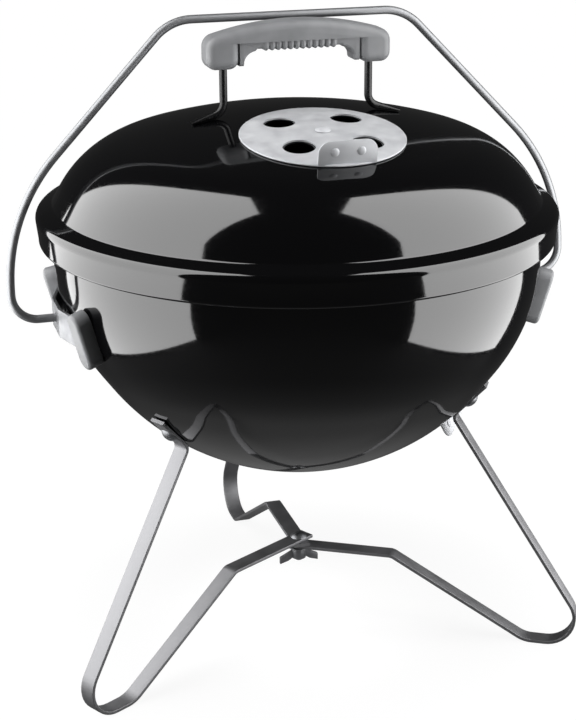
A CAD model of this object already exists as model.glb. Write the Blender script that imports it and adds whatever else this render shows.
from math import asin, cos, pi, radians, sin, sqrt, tan

import bmesh
import bpy
from mathutils import Matrix, Quaternion, Vector


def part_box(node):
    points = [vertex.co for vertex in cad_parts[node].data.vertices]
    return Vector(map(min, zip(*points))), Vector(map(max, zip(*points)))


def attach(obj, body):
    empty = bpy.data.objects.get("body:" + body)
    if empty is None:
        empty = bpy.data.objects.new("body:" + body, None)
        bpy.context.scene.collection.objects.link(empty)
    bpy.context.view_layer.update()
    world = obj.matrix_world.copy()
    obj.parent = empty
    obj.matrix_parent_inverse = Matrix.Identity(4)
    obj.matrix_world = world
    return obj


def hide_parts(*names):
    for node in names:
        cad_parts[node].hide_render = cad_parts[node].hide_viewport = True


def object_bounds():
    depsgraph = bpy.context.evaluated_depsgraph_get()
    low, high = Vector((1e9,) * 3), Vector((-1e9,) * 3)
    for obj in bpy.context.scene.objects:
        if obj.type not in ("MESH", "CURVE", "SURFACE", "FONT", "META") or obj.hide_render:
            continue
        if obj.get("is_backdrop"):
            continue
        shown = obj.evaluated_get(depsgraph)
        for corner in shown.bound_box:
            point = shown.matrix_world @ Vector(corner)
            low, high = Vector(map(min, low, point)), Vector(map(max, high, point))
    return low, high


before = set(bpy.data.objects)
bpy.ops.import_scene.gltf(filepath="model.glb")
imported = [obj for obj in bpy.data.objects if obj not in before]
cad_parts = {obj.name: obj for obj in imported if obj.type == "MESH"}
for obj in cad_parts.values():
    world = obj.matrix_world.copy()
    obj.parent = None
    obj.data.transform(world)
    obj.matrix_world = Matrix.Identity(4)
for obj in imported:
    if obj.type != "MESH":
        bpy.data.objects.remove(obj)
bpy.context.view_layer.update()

# Bowl
# Deep-drawn steel with a spherical bottom, an upright wall and a rolled rim, coated all over
# with fired black porcelain enamel. It stands on the three legs and carries the lid.
mm = 0.001
bowl_radius = 173.8 * mm
bowl_bottom = 135.8 * mm
bowl_cap_angle = radians(54.4)
bowl_bend_radius = 134.9 * mm
bowl_wall = 1.5 * mm
rim_bead = 2.5 * mm
rim_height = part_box("bowl_wall")[1].z - rim_bead
bowl_centre = bowl_bottom + bowl_radius
shell_segments = 256
merge_distance = 0.001 * mm
sharp_angle = radians(35.0)
first_vent = radians(45.0)
cutter_depth = 24.0 * mm
cutter_segments = 64


def linear(code):
    """Linear colour of an sRGB hex code."""
    channels = [int(code[i:i + 2], 16) / 255 for i in (1, 3, 5)]
    return tuple(c / 12.92 if c <= 0.04045 else ((c + 0.055) / 1.055) ** 2.4 for c in channels) + (1.0,)


def add_node(tree, kind, inputs=None, **settings):
    """Adds a node, with its settings, socket values and incoming links."""
    node = tree.nodes.new(kind)
    for name, value in settings.items():
        setattr(node, name, value)
    for socket, value in (inputs or {}).items():
        if isinstance(value, bpy.types.NodeSocket):
            tree.links.new(value, node.inputs[socket])
        else:
            node.inputs[socket].default_value = value
    return node


def start_material(name, **values):
    """A material, and its Principled shader with these socket values."""
    material = bpy.data.materials.new(name)
    material.use_nodes = True
    shader = material.node_tree.nodes["Principled BSDF"]
    for socket, value in values.items():
        shader.inputs[socket.replace("_", " ")].default_value = value
    return material, shader


def pattern(shader, size, kind="ShaderNodeTexNoise", output="Fac", **values):
    """A texture with features of this size, laid over the object's own coordinates."""
    tree = shader.id_data
    place = add_node(tree, "ShaderNodeTexCoord")
    texture = add_node(tree, kind, {"Vector": place.outputs["Object"], "Scale": 1 / size, **values})
    return texture.outputs[output]


def vary_roughness(shader, value, spread, limits):
    """Takes the roughness from one limit to the other as a value goes over its spread."""
    rough = add_node(shader.id_data, "ShaderNodeMapRange", {
        "Value": value, "From Min": spread[0], "From Max": spread[1], "To Min": limits[0],
        "To Max": limits[1]})
    shader.id_data.links.new(rough.outputs["Result"], shader.inputs["Roughness"])


def vary_colour(shader, value, spread, tints):
    """Takes the base colour from one tint to the other as a value goes over its spread."""
    tint = add_node(shader.id_data, "ShaderNodeValToRGB", {"Fac": value})
    for element, position, code in zip(tint.color_ramp.elements, spread, tints):
        element.position = position
        element.color = linear(code)
    shader.id_data.links.new(tint.outputs["Color"], shader.inputs["Base Color"])


def raise_bumps(shader, height, strength, depth):
    """Raises the surface by a height texture."""
    bump = add_node(shader.id_data, "ShaderNodeBump", {
        "Height": height, "Strength": strength, "Distance": depth})
    shader.id_data.links.new(bump.outputs["Normal"], shader.inputs["Normal"])


def arc(centre, radius, start, sweep, steps):
    """Points of radius and height along an arc, angles in radians from the outward direction."""
    angles = [start + sweep * i / steps for i in range(steps + 1)]
    return [(centre[0] + radius * cos(a), centre[1] + radius * sin(a)) for a in angles]


def bowl_meridian(inset):
    """The bowl's outline from the axis up to the rim, inset from its outer face."""
    cap = bowl_radius - inset
    bend = bowl_bend_radius - inset
    bend_axis = bowl_radius - bowl_bend_radius
    lean = pi / 2 - bowl_cap_angle
    cap_end_z = bowl_centre - cap * cos(bowl_cap_angle)
    run = (bend_axis + bend * cos(lean) - cap * sin(bowl_cap_angle)) / cos(bowl_cap_angle)
    bend_z = cap_end_z + run * sin(bowl_cap_angle) + bend * sin(lean)
    return (arc((0.0, bowl_centre), cap, -pi / 2, bowl_cap_angle, steps=40)
            + arc((bend_axis, bend_z), bend, -lean, lean, steps=16))


def turned_mesh(name, outline, segments):
    """A closed outline of radius and height, turned about Z into a shell."""
    vertices, faces, rings = [], [], []
    on_axis = 1e-7
    turns = [2 * pi * i / segments for i in range(segments)]
    for radius, height in outline:
        if radius < on_axis:
            rings.append([len(vertices)])
            vertices.append((0.0, 0.0, height))
            continue
        rings.append(list(range(len(vertices), len(vertices) + segments)))
        vertices += [(radius * cos(t), radius * sin(t), height) for t in turns]
    for low, high in zip(rings, rings[1:] + rings[:1]):
        if len(low) == 1 and len(high) == 1:
            continue
        for i in range(segments):
            j = (i + 1) % segments
            ring = [low[i % len(low)], low[j % len(low)], high[j % len(high)], high[i % len(high)]]
            faces.append(list(dict.fromkeys(ring)))
    mesh = bpy.data.meshes.new(name)
    mesh.from_pydata(vertices, [], faces)
    return mesh


def outward(mesh):
    """Merges doubles and turns the faces of closed shells outwards."""
    work = bmesh.new()
    work.from_mesh(mesh)
    bmesh.ops.remove_doubles(work, verts=work.verts, dist=merge_distance)
    bmesh.ops.recalc_face_normals(work, faces=work.faces)
    work.to_mesh(mesh)
    work.free()


def add_object(name, data):
    """A new object in the scene."""
    thing = bpy.data.objects.new(name, data)
    bpy.context.collection.objects.link(thing)
    return thing


def place_piece(name, mesh, material, body, nodes):
    """Makes a smooth-shaded piece of a mesh that stands for CAD nodes and rides on a body."""
    outward(mesh)
    mesh.shade_smooth()
    mesh.set_sharp_from_angle(angle=sharp_angle)
    mesh.materials.clear()
    mesh.materials.append(material)
    piece = add_object(name, mesh)
    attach(piece, body)
    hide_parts(*nodes)


def mesh_of(work, name):
    """The mesh of a bmesh, which is freed."""
    mesh = bpy.data.meshes.new(name)
    work.to_mesh(mesh)
    work.free()
    return mesh


def lift(height):
    """A move straight up."""
    return Matrix.Translation((0.0, 0.0, height))


def drum_cutter(circle, hole, level, place, count=4):
    """Round cutters on a circle about a local Z axis, as one mesh in its place."""
    work = bmesh.new()
    for i in range(count):
        turn = first_vent + 2 * pi * i / count
        spot = place @ Matrix.Translation((circle * cos(turn), circle * sin(turn), level))
        bmesh.ops.create_cone(work, cap_ends=True, segments=cutter_segments, radius1=hole,
                              radius2=hole, depth=cutter_depth, matrix=spot)
    return mesh_of(work, "cutter")


def applied_mesh(thing):
    """The plain mesh of an object with its modifiers applied. The object is removed."""
    bpy.context.view_layer.update()
    seen = thing.evaluated_get(bpy.context.evaluated_depsgraph_get())
    mesh = bpy.data.meshes.new_from_object(seen)
    bpy.data.objects.remove(thing)
    return mesh


def cut(mesh, cutter):
    """The mesh with the cutter's shape taken out of it."""
    blank = add_object("blank", mesh)
    tool = add_object("tool", cutter)
    boolean = blank.modifiers.new("cut", "BOOLEAN")
    boolean.operation = "DIFFERENCE"
    boolean.solver = "EXACT"
    boolean.object = tool
    result = applied_mesh(blank)
    bpy.data.objects.remove(tool)
    return result


# Porcelain enamel: glass fused to steel. It is deep black with a hard clear gloss,
# and its faint waviness bends the reflections a little.
enamel, shader = start_material(
    "black_porcelain_enamel", Base_Color=linear("#040405"), Roughness=0.07, IOR=1.75)
wave_size = 14.0 * mm
raise_bumps(shader, pattern(shader, wave_size, Detail=2.0), strength=0.02, depth=0.2 * mm)
speck_size = 3.0 * mm
vary_roughness(shader, pattern(shader, speck_size, Detail=3.0), spread=(0.3, 0.8), limits=(0.05, 0.09))

bowl_damper_angle = radians(27.0)
bowl_damper_azimuth = radians(-10.0)
bowl_damper_turn = radians(-60.0)
bowl_hole_circle = 26.0 * mm
bowl_hole_radius = 9.0 * mm
vent_margin = 1.0 * mm
bowl_damper_place = (
    lift(bowl_centre) @ Matrix.Rotation(bowl_damper_azimuth, 4, "Z")
    @ Matrix.Rotation(pi - bowl_damper_angle, 4, "Y") @ Matrix.Rotation(bowl_damper_turn, 4, "Z"))
bead_centre = (bowl_radius - bowl_wall / 2, rim_height)
bead_meet = asin(bowl_wall / 2 / rim_bead)
bead_roll = arc(bead_centre, rim_bead, bead_meet - pi / 2, 2 * pi - 2 * bead_meet, steps=20)
bowl_outline = bowl_meridian(0.0) + bead_roll + bowl_meridian(bowl_wall)[::-1]
bowl_mesh = turned_mesh("bowl", bowl_outline, shell_segments)
outward(bowl_mesh)
bowl_mesh = cut(bowl_mesh, drum_cutter(
    bowl_hole_circle, bowl_hole_radius - vent_margin, bowl_radius, bowl_damper_place))
place_piece("bowl_shell", bowl_mesh, enamel, "base", ["bowl_base", "bowl_wall"])

# Bowl damper and its rivet
# A dished aluminium disc that turns on a rivet under the bowl and closes four vents.
# Stamped from sheet, with one edge bent up as a finger tab.
damper_gap = 0.4 * mm
damper_sheet = 1.2 * mm
damper_edge = 0.3 * mm
tab_width = 40.0 * mm
tab_height = 17.0 * mm
tab_corner = 8.0 * mm
tab_edge = 0.25 * mm
pip_radius = 3.0 * mm
pip_flatness = 0.35
pip_across = 0.45
pip_level = 0.55
hard_angle = radians(50.0)
rivet_shank = 2.5 * mm
rivet_clearance = 0.1 * mm
rivet_head = 5.75 * mm
rivet_head_height = 2.0 * mm
rivet_head_gap = 0.3 * mm
rivet_tail_gap = 0.15 * mm
bowl_damper_radius = 45.0 * mm


def dished_disc(radius, sphere):
    """A disc of sheet that follows a sphere about the origin, centred on +Z, with eased edges."""
    inner = sphere + damper_gap
    outer = inner + damper_sheet
    under, over = [arc((0.0, 0.0), shell, pi / 2, -asin((radius - damper_edge) / shell), steps=24)
                   for shell in (inner, outer)]
    edge = [(radius, sqrt(inner**2 - radius**2) + damper_edge),
            (radius, sqrt(outer**2 - radius**2) - damper_edge)]
    return turned_mesh("damper", under + edge + over[::-1], segments=192)


def round_edges(work, edge):
    """Rounds the hard edges of a bmesh."""
    hard = [e for e in work.edges if e.calc_face_angle(0.0) > hard_angle]
    bmesh.ops.bevel(work, geom=hard, offset=edge, segments=2, profile=0.5, affect="EDGES",
                    clamp_overlap=True)


def finger_tab(radius, sphere):
    """The upright tab at -Y of a damper: rounded upper corners and two pips pressed out of it."""
    half = tab_width / 2
    chord = sqrt(radius**2 - half**2)
    rim_level = sqrt((sphere + damper_gap) ** 2 - radius**2)
    root = sqrt((sphere + damper_gap) ** 2 - chord**2)
    corner_level = rim_level + tab_height - tab_corner
    outline = [(-half, root), (half, root)]
    outline += arc((half - tab_corner, corner_level), tab_corner, 0.0, pi / 2, steps=8)
    outline += arc((tab_corner - half, corner_level), tab_corner, pi / 2, pi / 2, steps=8)
    work = bmesh.new()
    face = work.faces.new([work.verts.new((x, -chord, z)) for x, z in outline])
    solid = bmesh.ops.extrude_face_region(work, geom=[face])
    moved = [v for v in solid["geom"] if isinstance(v, bmesh.types.BMVert)]
    bmesh.ops.translate(work, verts=moved, vec=(0.0, -damper_sheet, 0.0))
    bmesh.ops.recalc_face_normals(work, faces=work.faces)
    round_edges(work, tab_edge)
    squash = Matrix.Diagonal((1.0, pip_flatness, 1.0, 1.0))
    for side in (-1, 1):
        spot = Matrix.Translation(
            (side * half * pip_across, -chord - damper_sheet, rim_level + tab_height * pip_level))
        bmesh.ops.create_uvsphere(work, u_segments=20, v_segments=12, radius=pip_radius,
                                  matrix=spot @ squash)
    return mesh_of(work, "tab")


def joined(*meshes):
    """One mesh of several."""
    work = bmesh.new()
    for mesh in meshes:
        work.from_mesh(mesh)
    return mesh_of(work, meshes[0].name)


def damper_mesh(radius, sphere, circle, hole, place):
    """A damper in its place: the dished disc with its vents, and the tab."""
    disc = dished_disc(radius, sphere)
    outward(disc)
    own = Matrix.Identity(4)
    disc = cut(disc, drum_cutter(circle, hole, sphere, own))
    disc = cut(disc, drum_cutter(0.0, rivet_shank + rivet_clearance, sphere, own, count=1))
    whole = joined(disc, finger_tab(radius, sphere))
    whole.transform(place)
    return whole


def dome(radius, height, seat, steps):
    """Points over a domed head on the Z axis, from its top to its edge at the seat."""
    sphere = (radius**2 + height**2) / (2 * height)
    return arc((0.0, seat + height - sphere), sphere, pi / 2, -asin(radius / sphere), steps)


def rivet_mesh(sphere, wall, place):
    """A domed rivet head on a damper, its shank, and its flat tail under the wall."""
    top = sphere + damper_gap + damper_sheet + rivet_head_gap
    bottom = sphere - wall - rivet_tail_gap
    tail = bottom - rivet_head_height
    outline = dome(rivet_head, rivet_head_height, top, steps=10)
    outline += [(rivet_shank, top), (rivet_shank, bottom)]
    outline += [(rivet_head, bottom), (rivet_head, tail), (0.0, tail)]
    mesh = turned_mesh("rivet", outline, segments=48)
    mesh.transform(place)
    return mesh


# Satin aluminium: stamped sheet, left bare. A soft grey sheen with faint rolling lines
# and blotches where the oxide has dulled it.
aluminium, shader = start_material(
    "stamped_satin_aluminium", Base_Color=linear("#D4D5D7"), Metallic=1.0, Roughness=0.75)
tree = aluminium.node_tree
line_pitch = 0.8 * mm
line_length = line_pitch / 0.06
place = add_node(tree, "ShaderNodeTexCoord")
stretch = add_node(tree, "ShaderNodeMapping", {
    "Vector": place.outputs["Object"], "Scale": (1 / line_length, 1 / line_pitch, 1 / line_length)})
lines = add_node(tree, "ShaderNodeTexNoise", {
    "Vector": stretch.outputs["Vector"], "Scale": 1.0, "Detail": 2.0})
raise_bumps(shader, lines.outputs["Fac"], strength=0.08, depth=0.1 * mm)
blotch_size = 9.0 * mm
blotch = pattern(shader, blotch_size, Detail=4.0)
vary_roughness(shader, blotch, spread=(0.3, 0.7), limits=(0.7, 0.8))
vary_colour(shader, blotch, spread=(0.3, 0.7), tints=("#CDCED1", "#DADBDD"))

place_piece(
    "bowl_damper_disc",
    damper_mesh(bowl_damper_radius, bowl_radius, bowl_hole_circle, bowl_hole_radius, bowl_damper_place),
    aluminium, "bowl_damper", ["bowl_damper"])
place_piece("bowl_damper_pin", rivet_mesh(bowl_radius, bowl_wall, bowl_damper_place),
            aluminium, "base", ["bowl_damper_rivet"])

# Charcoal grate and cooking grate
# Welded wire, nickel plated: a ring with parallel rods across it and two cross rods under them.
# Each rests on three lugs.
grate_ring = 2.5 * mm
grate_rod = 2.0 * mm
rod_level = grate_ring - grate_rod
cross_level = rod_level - 1.5 * grate_rod
cross_margin = 9.0 * mm
ring_steps = 128
wire_sides = 12

# Nickel plate on drawn wire: bright, with a gloss that comes and goes along it.
nickel, shader = start_material(
    "nickel_plated_wire", Base_Color=linear("#C9C8C6"), Metallic=1.0, Roughness=0.24)
smear_size = 6.0 * mm
vary_roughness(shader, pattern(shader, smear_size, Detail=3.0), spread=(0.3, 0.7), limits=(0.16, 0.3))


def start_tree(name, inputs):
    """A geometry tree, and its inputs of these names and kinds."""
    tree = bpy.data.node_groups.new(name, "GeometryNodeTree")
    tree.interface.new_socket("Geometry", in_out="OUTPUT", socket_type="NodeSocketGeometry")
    for label, kind in inputs.items():
        tree.interface.new_socket(label, in_out="INPUT", socket_type="NodeSocket" + kind)
    return tree, add_node(tree, "NodeGroupInput").outputs


def end_tree(tree, geometry, material):
    """Makes a tree's instances real, coats them and gives them out."""
    real = add_node(tree, "GeometryNodeRealizeInstances", {"Geometry": geometry})
    coated = add_node(tree, "GeometryNodeSetMaterial", {
        "Geometry": real.outputs["Geometry"], "Material": material})
    add_node(tree, "NodeGroupOutput", {"Geometry": coated.outputs["Geometry"]})


def reckon(tree, operation, *values):
    """The result of a math node."""
    return add_node(tree, "ShaderNodeMath", dict(enumerate(values)), operation=operation).outputs["Value"]


# Tree: rods at equal steps along X, each as long as the ring's chord there, with ring and cross rods
grate_tree, given = start_tree("wire_grate", {
    "Ring Radius": "Float", "Ring Wire": "Float", "Rod Wire": "Float", "Rod Pitch": "Float",
    "Rod Level": "Float", "Cross Offset": "Float", "Cross Length": "Float", "Cross Level": "Float",
    "Rod Count": "Int", "Material": "Material"})
ring_line = add_node(grate_tree, "GeometryNodeCurvePrimitiveCircle", {
    "Resolution": ring_steps, "Radius": given["Ring Radius"]})
ring_section = add_node(grate_tree, "GeometryNodeCurvePrimitiveCircle", {
    "Resolution": wire_sides, "Radius": given["Ring Wire"]})
ring_mesh = add_node(grate_tree, "GeometryNodeCurveToMesh", {
    "Curve": ring_line.outputs["Curve"], "Profile Curve": ring_section.outputs["Curve"]})
rod_gaps = reckon(grate_tree, "SUBTRACT", given["Rod Count"], 1.0)
span = reckon(grate_tree, "MULTIPLY", rod_gaps, given["Rod Pitch"])
start = add_node(grate_tree, "ShaderNodeCombineXYZ", {
    "X": reckon(grate_tree, "MULTIPLY", span, -0.5), "Z": given["Rod Level"]})
step = add_node(grate_tree, "ShaderNodeCombineXYZ", {"X": given["Rod Pitch"]})
row = add_node(grate_tree, "GeometryNodeMeshLine", {
    "Count": given["Rod Count"], "Start Location": start.outputs["Vector"],
    "Offset": step.outputs["Vector"]}, mode="OFFSET")
where = add_node(grate_tree, "GeometryNodeInputPosition")
across = add_node(grate_tree, "ShaderNodeSeparateXYZ", {"Vector": where.outputs["Position"]})
ring_square = reckon(grate_tree, "POWER", given["Ring Radius"], 2.0)
across_square = reckon(grate_tree, "MULTIPLY", across.outputs["X"], across.outputs["X"])
half_chord = reckon(grate_tree, "SQRT", reckon(grate_tree, "SUBTRACT", ring_square, across_square))
rod_scale = add_node(grate_tree, "ShaderNodeCombineXYZ", {"X": 1.0, "Y": 1.0, "Z": half_chord})
rod_unit = add_node(grate_tree, "GeometryNodeMeshCylinder", {
    "Vertices": wire_sides, "Radius": given["Rod Wire"], "Depth": 2.0})
rods = add_node(grate_tree, "GeometryNodeInstanceOnPoints", {
    "Points": row.outputs["Mesh"], "Instance": rod_unit.outputs["Mesh"],
    "Rotation": (pi / 2, 0.0, 0.0), "Scale": rod_scale.outputs["Vector"]})
cross_unit = add_node(grate_tree, "GeometryNodeMeshCylinder", {
    "Vertices": wire_sides, "Radius": given["Rod Wire"], "Depth": given["Cross Length"]})
whole = add_node(grate_tree, "GeometryNodeJoinGeometry", {"Geometry": ring_mesh.outputs["Mesh"]})
grate_tree.links.new(rods.outputs["Instances"], whole.inputs["Geometry"])
for side in (-1.0, 1.0):
    spot = add_node(grate_tree, "ShaderNodeCombineXYZ", {
        "Y": reckon(grate_tree, "MULTIPLY", given["Cross Offset"], side), "Z": given["Cross Level"]})
    laid = add_node(grate_tree, "GeometryNodeTransform", {
        "Geometry": cross_unit.outputs["Mesh"], "Translation": spot.outputs["Vector"],
        "Rotation": (0.0, pi / 2, 0.0)})
    grate_tree.links.new(laid.outputs["Geometry"], whole.inputs["Geometry"])
end_tree(grate_tree, whole.outputs["Geometry"], given["Material"])


def grown_mesh(name, tree, values, base=None):
    """The plain mesh that a tree gives for these named inputs."""
    carrier = add_object(name, base or bpy.data.meshes.new(name))
    modifier = carrier.modifiers.new(name, "NODES")
    modifier.node_group = tree
    sockets = {item.name: item.identifier for item in tree.interface.items_tree
               if item.in_out == "INPUT"}
    for label, value in values.items():
        modifier[sockets[label]] = value
    return applied_mesh(carrier)


grates = {
    "charcoal_grate": {"pitch": 17.0 * mm, "cross": 60.0 * mm},
    "cooking_grate": {"pitch": 15.0 * mm, "cross": 88.0 * mm},
}
for node, sizes in grates.items():
    low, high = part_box(node)
    ring_radius = (high.x - low.x) / 2 - grate_ring
    cross_length = 2 * sqrt((ring_radius - cross_margin) ** 2 - sizes["cross"] ** 2)
    mesh = grown_mesh(node + "_wire", grate_tree, {
        "Ring Radius": ring_radius, "Ring Wire": grate_ring, "Rod Wire": grate_rod,
        "Rod Pitch": sizes["pitch"], "Rod Level": rod_level, "Cross Offset": sizes["cross"],
        "Cross Length": cross_length, "Cross Level": cross_level,
        "Rod Count": 2 * int((ring_radius - grate_ring) / sizes["pitch"]) + 1, "Material": nickel})
    mesh.transform(lift(high.z - grate_ring))
    place_piece(node + "_wire", mesh, nickel, node, [node])

# Grate lugs, bail brackets, leg nuts and tie washer
# Small steel pieces in their solids' own shape, with softer edges: pressed lugs and bent brackets
# that are welded to the bowl, nuts inside it and a washer. Zinc plated and chromated clear.
cad_weld = 0.002 * mm
cad_flat = radians(1.0)
plate_edge = 0.4 * mm
nut_edge = 0.2 * mm
zinc, shader = start_material(
    "clear_zinc_plate", Base_Color=linear("#87888A"), Metallic=1.0, Roughness=0.42)
spangle_size = 5.0 * mm
spangle = pattern(shader, spangle_size, "ShaderNodeTexVoronoi", "Distance")
vary_roughness(shader, spangle, spread=(0.0, 0.8), limits=(0.36, 0.48))
haze_size = 12.0 * mm
haze = pattern(shader, haze_size, Detail=4.0)
vary_colour(shader, haze, spread=(0.35, 0.65), tints=("#7E7F82", "#909193"))


def softened_copy(node, edge):
    """A welded copy of a CAD node's mesh with its hard edges rounded."""
    work = bmesh.new()
    work.from_mesh(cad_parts[node].data)
    bmesh.ops.remove_doubles(work, verts=work.verts, dist=cad_weld)
    bmesh.ops.dissolve_limit(work, angle_limit=cad_flat, verts=work.verts, edges=work.edges)
    round_edges(work, edge)
    return mesh_of(work, node)


for node in ("grate_lugs", "coal_lugs", "bail_bracket_left", "bail_bracket_right"):
    place_piece(node + "_plated", softened_copy(node, plate_edge), zinc, "base", [node])
for node in ("leg_nuts", "tie_washer"):
    place_piece(node + "_plated", softened_copy(node, nut_edge), zinc, "base", [node])

# Bracket pads
# Moulded nylon pads at the ends of each side bracket, long and round-ended, with the outer edge
# rounded over. They keep hands off the hot bowl.
pad_names = [f"bracket_pad_{side}_{end}" for side in ("left", "right") for end in ("a", "b")]
pad_edge = 0.3 * mm

# Glass-filled nylon: mid grey, moulded against a lightly blasted tool, so it has a soft, even sheen.
nylon, shader = start_material(
    "moulded_grey_nylon", Base_Color=linear("#7C7D7F"), Roughness=0.46, IOR=1.53)
grain_size = 0.7 * mm
raise_bumps(shader, pattern(shader, grain_size, Detail=3.0), strength=0.12, depth=0.08 * mm)
cloud_size = 18.0 * mm
cloud = pattern(shader, cloud_size, Detail=2.0)
vary_colour(shader, cloud, spread=(0.35, 0.65), tints=("#767779", "#828385"))
for node in pad_names:
    place_piece(node + "_nylon", softened_copy(node, pad_edge), nylon, "base", [node])

# Legs
# Three flat steel straps, each bent on edge into a tab on the bowl, a long run out, a round foot
# and a run back to the middle. Zinc plated.
strap_width = 12.5 * mm
strap_sheet = 2.5 * mm
strap_edge = 0.45 * mm
leg_screw_angle = radians(47.0)
tab_half_length = 17.0 * mm
tab_bend = 6.0 * mm
foot_radius = 21.1 * mm
foot_centre = 190.8 * mm
foot_flat = 10.0 * mm
inner_bend_radius = 73.0 * mm
inner_bend = 8.0 * mm
tie_height = 60.0 * mm
tie_overhang = 9.0 * mm
strap_gap = 0.1 * mm
seat_gap = 0.1 * mm
leg_azimuths = {"leg_right": -30.0, "leg_rear": 90.0, "leg_left": 210.0}
screw_normal = Vector((sin(leg_screw_angle), 0.0, -cos(leg_screw_angle)))
screw_along = Vector((cos(leg_screw_angle), 0.0, sin(leg_screw_angle)))
screw_on_bowl = Vector((0.0, 0.0, bowl_centre)) + bowl_radius * screw_normal


def bent_path(points, radii, steps=14):
    """Points along straight runs joined by tangent arcs of these radii."""
    points = [Vector(p) for p in points]
    path = [points[0]]
    for before, corner, after, radius in zip(points, points[1:], points[2:], radii):
        way_in = (before - corner).normalized()
        way_out = (after - corner).normalized()
        half = way_in.angle(way_out) / 2
        reach = radius / tan(half)
        axis = corner + (way_in + way_out).normalized() * radius / sin(half)
        from_axis = corner + way_in * reach - axis
        to_axis = corner + way_out * reach - axis
        turn = from_axis.angle(to_axis)
        normal = from_axis.cross(to_axis).normalized()
        path += [axis + Matrix.Rotation(turn * i / steps, 3, normal) @ from_axis
                 for i in range(steps + 1)]
    return path + [points[-1]]


def skinned_mesh(name, sections):
    """A closed skin over sections of equally many points, with a cap at each end."""
    count = len(sections[0])
    last = len(sections) - 1
    faces = []
    for i in range(last):
        for j in range(count):
            k = (j + 1) % count
            faces.append([i * count + j, i * count + k, (i + 1) * count + k, (i + 1) * count + j])
    faces += [list(range(count)), list(range(last * count, (last + 1) * count))]
    mesh = bpy.data.meshes.new(name)
    mesh.from_pydata([tuple(point) for section in sections for point in section], [], faces)
    return mesh


def swept_mesh(name, path, section):
    """A section of (across, along Y) points, carried along a path in the plane of X and Z."""
    side = Vector((0.0, 1.0, 0.0))
    runs = [(b - a).normalized() for a, b in zip(path, path[1:])]
    sections = []
    for point, way_in, way_out in zip(path, runs[:1] + runs, runs + runs[-1:]):
        across = side.cross((way_in + way_out).normalized())
        stretch = 1 / across.dot(side.cross(way_in))
        sections.append([point + across * a * stretch + side * b for a, b in section])
    return skinned_mesh(name, sections)


def rounded_bar(height, width, radius):
    """Outline of a flat bar's section with rounded edges."""
    outline = []
    for sx, sy, start in ((1, 1, 0.0), (-1, 1, pi / 2), (-1, -1, pi), (1, -1, 1.5 * pi)):
        centre = (sx * (height / 2 - radius), sy * (width / 2 - radius))
        outline += arc(centre, radius, start, pi / 2, steps=4)
    return outline


def leg_path(level):
    """Middle line of a leg at azimuth zero, tied at a stacking level."""
    tie = tie_height + level * (strap_sheet + strap_gap)
    floor = strap_sheet / 2
    tab_middle = screw_on_bowl + screw_normal * (seat_gap + strap_sheet / 2)
    tab_end = tab_middle + screw_along * tab_half_length
    tab_root = tab_middle - screw_along * tab_half_length
    foot_axis = Vector((foot_centre, 0.0, floor + foot_radius))
    reach = (foot_axis - tab_root).length
    fall = asin((tab_root.z - foot_axis.z) / reach) - asin(foot_radius / reach)
    outer_corner = (tab_root.x + (tab_root.z - floor) / tan(fall), 0.0, floor)
    inner_axis = foot_axis - Vector((foot_flat, 0.0, 0.0))
    inner_point = Vector((inner_bend_radius, 0.0, tie))
    span = (inner_axis - inner_point).length
    rise = asin((tie - inner_axis.z) / span) + asin(foot_radius / span)
    inner_corner = (inner_bend_radius + (tie - floor) / tan(rise), 0.0, floor)
    points = [tab_end, tab_root, outer_corner, inner_corner, inner_point, (-tie_overhang, 0.0, tie)]
    return bent_path(points, [tab_bend, foot_radius, foot_radius, inner_bend])


# Zinc-plated strap: cold-rolled steel under a thin plate, satin, with faint clouds in the plate.
strap_finish, shader = start_material(
    "zinc_plated_strap", Base_Color=linear("#8C8C8E"), Metallic=1.0, Roughness=0.56)
cloud_size = 16.0 * mm
cloud = pattern(shader, cloud_size, Detail=5.0, Roughness=0.6)
vary_roughness(shader, cloud, spread=(0.3, 0.7), limits=(0.52, 0.6))
vary_colour(shader, cloud, spread=(0.35, 0.65), tints=("#878789", "#919193"))

strap_section = rounded_bar(strap_sheet, strap_width, strap_edge)
for level, (node, azimuth) in enumerate(leg_azimuths.items()):
    mesh = swept_mesh(node, leg_path(level), strap_section)
    mesh.transform(Matrix.Rotation(radians(azimuth), 4, "Z"))
    place_piece(node + "_strap", mesh, strap_finish, "base", [node])

# Leg screws and tie screw
# Slotted truss-head screws, zinc plated: one through each leg's tab into the bowl,
# and one down through the three stacked straps in the middle.
screw_radius = 3.0 * mm
head_radius = 6.5 * mm
head_height = 3.4 * mm
slot_width = 1.4 * mm
slot_depth = 1.2 * mm
slot_length = 2.4 * head_radius
slot_over = 1.0 * mm
thread_pitch = 1.0 * mm
thread_depth = 0.45 * mm
leg_screw_past_wall = 7.3 * mm
leg_slot_turn = radians(20.0)
tie_slot_turn = radians(-35.0)


def screw_mesh(length):
    """A truss-head screw on Z with its slot and rolled thread grooves; the head sits above zero."""
    outline = dome(head_radius, head_height, 0.0, steps=14) + [(screw_radius, 0.0)]
    turns = int(length / thread_pitch)
    for i in range(turns):
        top = -length + (turns - i) * thread_pitch
        outline += [(screw_radius, top), (screw_radius - thread_depth, top - thread_pitch / 2)]
    outline += [(screw_radius - thread_depth, -length), (0.0, -length)]
    mesh = turned_mesh("screw", outline, segments=40)
    outward(mesh)
    work = bmesh.new()
    slot_size = Matrix.Diagonal((slot_width, slot_length, slot_depth + slot_over, 1.0))
    bmesh.ops.create_cube(
        work, size=1.0, matrix=lift(head_height + (slot_over - slot_depth) / 2) @ slot_size)
    return cut(mesh, mesh_of(work, "slot"))


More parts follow.
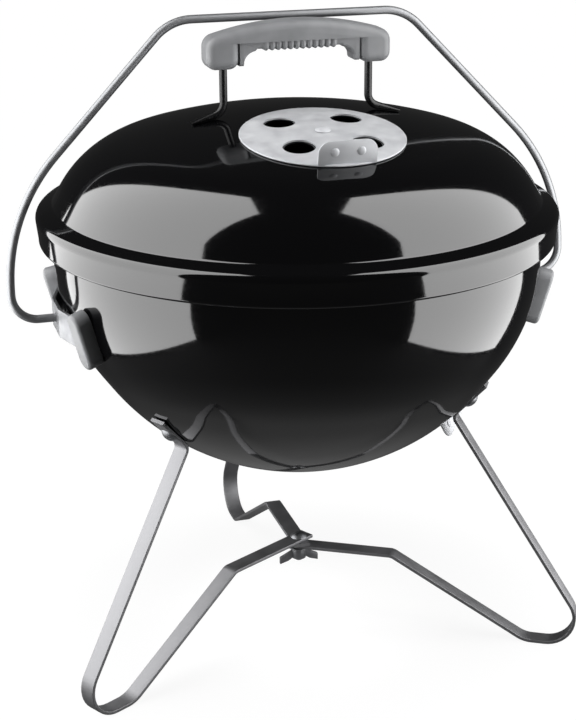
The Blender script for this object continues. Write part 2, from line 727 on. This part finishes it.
# Tree: the carried geometry repeated at equal turns about Z
ring_tree, given = start_tree("copies_round_axis", {
    "Geometry": "Geometry", "Count": "Int", "First Turn": "Float", "Material": "Material"})
points = add_node(ring_tree, "GeometryNodePoints", {"Count": given["Count"]})
number = add_node(ring_tree, "GeometryNodeInputIndex")
turn_step = reckon(ring_tree, "DIVIDE", 2 * pi, given["Count"])
turn = reckon(ring_tree, "MULTIPLY_ADD", number.outputs["Index"], turn_step, given["First Turn"])
spin = add_node(ring_tree, "ShaderNodeCombineXYZ", {"Z": turn})
copies = add_node(ring_tree, "GeometryNodeInstanceOnPoints", {
    "Points": points.outputs["Points"], "Instance": given["Geometry"],
    "Rotation": spin.outputs["Vector"]})
end_tree(ring_tree, copies.outputs["Instances"], given["Material"])

head_seat = bowl_radius + 2 * seat_gap + strap_sheet
leg_screw = screw_mesh(head_seat - bowl_radius + bowl_wall + leg_screw_past_wall)
leg_screw.transform(
    lift(bowl_centre) @ Matrix.Rotation(pi - leg_screw_angle, 4, "Y")
    @ lift(head_seat) @ Matrix.Rotation(leg_slot_turn, 4, "Z"))
leg_screws = grown_mesh("leg_screws", ring_tree, {
    "Count": len(leg_azimuths), "First Turn": radians(leg_azimuths["leg_right"]),
    "Material": zinc}, leg_screw)
place_piece("leg_screw_set", leg_screws, zinc, "base", ["leg_screws"])

tie_low, tie_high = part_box("tie_screw")
stack_top = tie_high.z - head_height
tie_screw = screw_mesh(stack_top - tie_low.z)
tie_screw.transform(lift(stack_top) @ Matrix.Rotation(tie_slot_turn, 4, "Z"))
place_piece("tie_screw_plated", tie_screw, zinc, "base", ["tie_screw"])

# Wing nut
# A cast nut with two finger wings that pulls the three straps together from below. Zinc plated.
wing_edge = 0.5 * mm
place_piece("wing_nut_plated", softened_copy("wing_nut", wing_edge), zinc, "wing_nut",
            ["wing_nut"])

# Lid shell
# Pressed steel like the bowl and enamelled with it: a shallow crown, a shoulder, a sloping wall,
# a shelf that rests on the bowl's rim, and a skirt over it with a rolled hem.
lid_apex = 396.8 * mm
crown_radius = 441.4 * mm
crown_edge = 121.9 * mm
shoulder_radius = 79.0 * mm
lid_wall_slope = radians(59.5)
crease_radius = 173.3 * mm
crease_fillet = 3.0 * mm
shelf_slope = radians(25.0)
rim_bend_radius = 5.5 * mm
skirt_lean = radians(7.0)
lid_radius = 185.0 * mm
hem_radius = 2.2 * mm
hem_proud = 0.3 * mm
hem_height = 311.1 * mm
hem_start = 0.1 * pi
hem_turn = -1.45 * pi
lid_wall = 1.5 * mm
crown_centre = lid_apex - crown_radius


def lid_meridian(inset):
    """The lid's outline from the axis to its hem, inset from its outer face."""
    crown_angle = asin(crown_edge / crown_radius)
    shoulder_axis = ((crown_radius - shoulder_radius) * sin(crown_angle),
                     crown_centre + (crown_radius - shoulder_radius) * cos(crown_angle))
    wall_start = (shoulder_axis[0] + shoulder_radius * sin(lid_wall_slope),
                  shoulder_axis[1] + shoulder_radius * cos(lid_wall_slope))
    crease_height = wall_start[1] - (crease_radius - wall_start[0]) * tan(lid_wall_slope)
    half_turn = (lid_wall_slope - shelf_slope) / 2
    middle = (lid_wall_slope + shelf_slope) / 2
    fillet_reach = crease_fillet / cos(half_turn)
    fillet_axis = (crease_radius + fillet_reach * sin(middle), crease_height + fillet_reach * cos(middle))
    rim_axis_radius = lid_radius - rim_bend_radius
    shelf_run = rim_axis_radius + rim_bend_radius * sin(shelf_slope) - crease_radius
    rim_axis = (rim_axis_radius,
                crease_height - shelf_run * tan(shelf_slope) - rim_bend_radius * cos(shelf_slope))
    outline = arc((0.0, crown_centre), crown_radius - inset, pi / 2, -crown_angle, steps=40)
    outline += arc(shoulder_axis, shoulder_radius - inset, pi / 2 - crown_angle,
                   crown_angle - lid_wall_slope, steps=24)
    outline += arc(fillet_axis, crease_fillet + inset, -pi / 2 - lid_wall_slope,
                   lid_wall_slope - shelf_slope, steps=8)
    outline += arc(rim_axis, rim_bend_radius - inset, pi / 2 - shelf_slope,
                   shelf_slope - skirt_lean - pi / 2, steps=14)
    skirt_top = outline[-1]
    hem_reach = skirt_top[0] - (skirt_top[1] - hem_height) * tan(skirt_lean)
    return outline + [(hem_reach, hem_height)]


lid_damper_radius = 56.2 * mm
lid_damper_offset = 61.0 * mm
lid_hole_circle = 33.4 * mm
lid_hole_radius = 11.0 * mm
lid_tilt = asin(lid_damper_offset / crown_radius)
lid_damper_place = lift(crown_centre) @ Matrix.Rotation(lid_tilt, 4, "X")
lid_outer = lid_meridian(0.0)
lid_inner = lid_meridian(lid_wall)
hem_axis = (lid_outer[-1][0] + hem_proud - hem_radius, hem_height)
hem_roll = arc(hem_axis, hem_radius, hem_start, hem_turn, steps=20)
lid_mesh = turned_mesh("lid", lid_outer[:-1] + hem_roll + lid_inner[-2::-1], shell_segments)
outward(lid_mesh)
lid_mesh = cut(lid_mesh, drum_cutter(
    lid_hole_circle, lid_hole_radius - vent_margin, crown_radius, lid_damper_place))
place_piece("lid_shell", lid_mesh, enamel, "lid", ["lid_dome", "lid_rim"])

# Lid damper and its rivet
# The same stamped and dished disc as under the bowl, larger, on a rivet in the crown.
place_piece(
    "lid_damper_disc",
    damper_mesh(lid_damper_radius, crown_radius, lid_hole_circle, lid_hole_radius, lid_damper_place),
    aluminium, "lid_damper", ["lid_damper"])
place_piece("lid_damper_pin", rivet_mesh(crown_radius, lid_wall, lid_damper_place),
            aluminium, "lid", ["lid_damper_rivet"])

# Lid handle frame
# One steel rod bent into a bow, its feet pressed flat and welded to the crown.
# Painted semi-gloss black.
handle_rod = 2.75 * mm
handle_half_span = 52.6 * mm
handle_foot_end = 75.5 * mm
handle_bar_height = 449.3 * mm
handle_bend = 9.0 * mm
weld_gap = 0.3 * mm
foot_press = 16.0 * mm
foot_thin = 0.6
foot_spread = 0.35
foot_step = 0.1

# Black stoved paint over steel: even and smooth, with a soft highlight.
black_paint, shader = start_material(
    "black_stoved_paint", Base_Color=linear("#0A0A0B"), Roughness=0.3, IOR=1.5)
peel_size = 2.0 * mm
peel = pattern(shader, peel_size, Detail=2.0)
raise_bumps(shader, peel, strength=0.05, depth=0.1 * mm)
vary_roughness(shader, peel, spread=(0.3, 0.7), limits=(0.24, 0.36))


def crown_height(radius):
    """Height of the lid's crown at a distance from the axis."""
    return crown_centre + sqrt(crown_radius**2 - radius**2)


def mirrored(points):
    """The same points on the other side of X, in reverse order."""
    return [Vector((-x, y, z)) for x, y, z in reversed(points)]


rod_lift = handle_rod + weld_gap
foot_outer = Vector((handle_foot_end, 0.0, crown_height(handle_foot_end) + rod_lift))
foot_inner = Vector((handle_half_span, 0.0, crown_height(handle_half_span) + rod_lift))
foot_line = [foot_outer.lerp(foot_inner, i * foot_step) for i in range(5)]
bow = [foot_outer, foot_inner, (handle_half_span, 0.0, handle_bar_height)]
bow_path = bent_path(bow + mirrored(bow), [handle_bend] * 4)
handle_path = foot_line + bow_path[1:-1] + mirrored(foot_line)
rod_section = arc((0.0, 0.0), handle_rod, 0.0, 2 * pi, steps=24)[:-1]
handle_mesh = swept_mesh("handle", handle_path, rod_section)
for vertex in handle_mesh.vertices:
    out = abs(vertex.co.x)
    press = min((out - handle_foot_end + foot_press) / foot_press, 1.0)
    if press > 0.0:
        seat = crown_height(out) + weld_gap
        vertex.co.z = seat + (vertex.co.z - seat) * (1.0 - foot_thin * press)
        vertex.co.y *= 1.0 + foot_spread * press
place_piece("handle_bow", handle_mesh, black_paint, "lid", ["lid_handle_frame"])

# Grip cover
# A moulded nylon arch over the bow, with a crowned top and rounded ends that come down over
# the uprights. It keeps its solid's shape, with softer edges.
grip_edge = 2.0 * mm
place_piece("grip_cover_nylon", softened_copy("grip_cover", grip_edge), nylon, "lid",
            ["grip_cover"])

# Grip insert
# The ribbed underside of the grip, a separate moulding that snaps into the cover under the bow.
# It hollows down to a toe at each end, and the ribs go round its front and back.
insert_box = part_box("grip_insert")
insert_top = insert_box[1].z
insert_half = insert_box[1].x
insert_toe_height = insert_box[0].z
insert_thickness = 6.0 * mm
insert_low = insert_top - insert_thickness
insert_depth = 22.0 * mm
insert_round = 2.6 * mm
toe_width = 2.85 * mm
toe_inner = insert_half - toe_width
toe_bend = insert_low - insert_toe_height
toe_start = toe_inner - toe_bend
toe_steps = 12
toe_edge = 0.01 * mm
rib_count = 12
rib_pitch = 4.4 * mm
rib_groove = 1.3 * mm
rib_end = rib_count / 2 * rib_pitch
rib_stations = 10 * rib_count


def insert_section(x):
    """One closed section of the insert across its length, as X, Y and Z points."""
    groove = rib_groove
    if abs(x) < rib_end:
        groove = rib_groove * (1.0 - abs(sin(pi * x / rib_pitch)))
    low = insert_low + groove
    if abs(x) > toe_start:
        low -= toe_bend + groove - sqrt(max(toe_bend**2 - (abs(x) - toe_start) ** 2, 0.0))
    half = insert_depth / 2 - groove
    section = [(-half, insert_top)]
    section += arc((insert_round - half, low + insert_round), insert_round, pi, pi / 2, steps=6)
    section += arc((half - insert_round, low + insert_round), insert_round, 1.5 * pi, pi / 2, steps=6)
    section += [(half, insert_top)]
    return [(x, y, z) for y, z in section]


half_places = [rib_end * i / rib_stations for i in range(rib_stations + 1)]
half_places += [toe_start + toe_bend * sin(pi / 2 * i / toe_steps) for i in range(toe_steps + 1)]
half_places += [toe_inner + toe_edge, insert_half]
places = [-x for x in reversed(half_places[1:])] + half_places
insert_mesh = skinned_mesh("insert", [insert_section(x) for x in places])
place_piece("grip_insert_nylon", insert_mesh, nylon, "lid", ["grip_insert"])

# Bail
# A loop of plated spring wire. Its ends are staked in the side brackets, and it swings up
# over the lid and behind the grip to lock the lid down.
bail_rod = 2.9 * mm
pivot_height = 260.7 * mm
bail_half_width = 206.0 * mm
bail_knee_height = 335.0 * mm
bail_top_half = 85.0 * mm
bail_top_height = 460.4 * mm
bail_end_bend = 18.0 * mm
bail_knee_bend = 130.0 * mm
bail_top_bend = 36.0 * mm
bail_lean = radians(5.0)
stake_end = 173.45 * mm
stake_radius = 4.2 * mm
stake_length = 2.0 * mm
stake_middle = stake_end - stake_length / 2
half_loop = [(stake_middle, 0.0, pivot_height), (bail_half_width, 0.0, pivot_height),
             (bail_half_width, 0.0, bail_knee_height), (bail_top_half, 0.0, bail_top_height)]
bends = [bail_end_bend, bail_knee_bend, bail_top_bend]
bail_path = bent_path(half_loop + mirrored(half_loop), bends + bends[::-1], steps=20)
wire_section = arc((0.0, 0.0), bail_rod, 0.0, 2 * pi, steps=28)[:-1]

# Zinc-plated spring wire: pale and satin, a little uneven in its gloss.
bail_finish, shader = start_material(
    "zinc_plated_spring_wire", Base_Color=linear("#97989A"), Metallic=1.0, Roughness=0.5)
smear_size = 7.0 * mm
vary_roughness(shader, pattern(shader, smear_size, Detail=3.0), spread=(0.3, 0.7), limits=(0.46, 0.54))

bail_parts = [swept_mesh("bail", bail_path, wire_section)]
for side in (-1, 1):
    work = bmesh.new()
    spot = Matrix.Translation((side * stake_middle, 0.0, pivot_height))
    bmesh.ops.create_cone(work, cap_ends=True, segments=32, radius1=stake_radius, radius2=stake_radius,
                          depth=stake_length, matrix=spot @ Matrix.Rotation(pi / 2, 4, "Y"))
    bail_parts.append(mesh_of(work, "stake"))
bail_mesh = joined(*bail_parts)
bail_mesh.transform(lift(pivot_height) @ Matrix.Rotation(-bail_lean, 4, "X") @ lift(-pivot_height))
place_piece("bail_wire", bail_mesh, bail_finish, "bail", ["bail"])

# Floor
# A grey studio floor that is lit to white for the camera, and keeps the shadow of the grill.
# The enamel and the metal see a little of that light, which falls off into the dim room.
floor_half = 6.0
floor_corners = [(x * floor_half, y * floor_half, 0.0) for x, y in ((-1, -1), (1, -1), (1, 1), (-1, 1))]
floor_mesh = bpy.data.meshes.new("floor")
floor_mesh.from_pydata(floor_corners, [], [(0, 1, 2, 3)])
floor = add_object("floor", floor_mesh)
floor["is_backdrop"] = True


def fade(distance, start, end, near, far):
    """A value that goes smoothly from near to far between two distances."""
    return add_node(distance.id_data, "ShaderNodeMapRange", {
        "Value": distance, "From Min": start, "From Max": end, "To Min": near, "To Max": far},
        interpolation_type="SMOOTHSTEP").outputs["Result"]


floor_paint, shader = start_material(
    "matt_studio_floor", Roughness=0.9, Emission_Color=linear("#FFFFFF"))
tree = floor_paint.node_tree
place = add_node(tree, "ShaderNodeTexCoord")
away = add_node(
    tree, "ShaderNodeVectorMath", {0: place.outputs["Object"]}, operation="LENGTH").outputs["Value"]
tone = fade(away, start=0.02, end=0.24, near=0.0, far=1.0)
vary_colour(shader, tone, spread=(0.0, 1.0), tints=("#7C7C7C", "#141414"))
camera_glow = fade(away, start=0.1, end=0.25, near=0.84, far=1.0)
mirror_glow = fade(away, start=0.15, end=0.35, near=0.1, far=0.03)
ray = add_node(tree, "ShaderNodeLightPath").outputs
seen_glow = reckon(tree, "MULTIPLY", ray["Is Camera Ray"], camera_glow)
mirror = reckon(tree, "MAXIMUM", ray["Is Glossy Ray"], ray["Is Transmission Ray"])
glow = reckon(tree, "MULTIPLY_ADD", mirror, mirror_glow, seen_glow)
tree.links.new(glow, shader.inputs["Emission Strength"])
floor_mesh.materials.append(floor_paint)

# World: a dim room, white behind the grill for the camera
world = bpy.data.worlds.new("studio")
bpy.context.scene.world = world
world.use_nodes = True
tree = world.node_tree
tree.nodes.clear()
room_light = 0.03
ray = add_node(tree, "ShaderNodeLightPath").outputs
room = reckon(tree, "MULTIPLY_ADD", ray["Is Camera Ray"], 1.0 - room_light, room_light)
backdrop = add_node(tree, "ShaderNodeBackground", {"Color": linear("#FFFFFF"), "Strength": room})
add_node(tree, "ShaderNodeOutputWorld", {"Surface": backdrop.outputs["Background"]})

# Lamps: two tall, narrow soft boxes that stand close on each side of the grill.
# They leave the front and the outline of the enamel dark.
view_azimuth = radians(16.62)
lamp_foot = 0.01


def soft_box(name, side, rear, front, height, power):
    """An upright lamp to one side of the camera's view, from its rear to its front edge."""
    lamp = bpy.data.lights.new(name, "AREA")
    lamp.shape = "RECTANGLE"
    lamp.size = front - rear
    lamp.size_y = height
    lamp.energy = power
    holder = add_object(name, lamp)
    holder.visible_camera = False
    turn = Matrix.Rotation(-view_azimuth, 4, "Z")
    holder.location = turn @ Vector((side, -(front + rear) / 2, lamp_foot + height / 2))
    holder.rotation_euler = (turn @ Vector((-side, 0.0, 0.0))).to_track_quat("-Z", "Y").to_euler()


soft_box("left_soft_box", side=-0.42, rear=-0.20, front=0.46, height=2.3, power=17.0)
soft_box("right_soft_box", side=0.42, rear=-0.13, front=0.40, height=2.0, power=12.0)

# Camera: a long lens a little above the lid, turned to the left of the front
camera_distance = 1.2347
camera_elevation = radians(19.93)
camera_roll = radians(-0.26)
camera_target = Vector((0.0, 0.0, 0.2099))
camera_data = bpy.data.cameras.new("camera")
camera_data.lens = 83.73
camera_data.sensor_width = 36.0
camera_data.shift_x = -0.01368
camera_data.clip_end = 50.0
camera = add_object("camera", camera_data)
camera_way = Vector((-sin(view_azimuth) * cos(camera_elevation),
                     -cos(view_azimuth) * cos(camera_elevation), sin(camera_elevation)))
camera.location = camera_target + camera_way * camera_distance
camera_turn = (-camera_way).to_track_quat("-Z", "Y") @ Quaternion((0.0, 0.0, 1.0), camera_roll)
camera.rotation_euler = camera_turn.to_euler()
bpy.context.scene.camera = camera
bpy.context.scene.view_settings.view_transform = "Standard"

low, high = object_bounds()
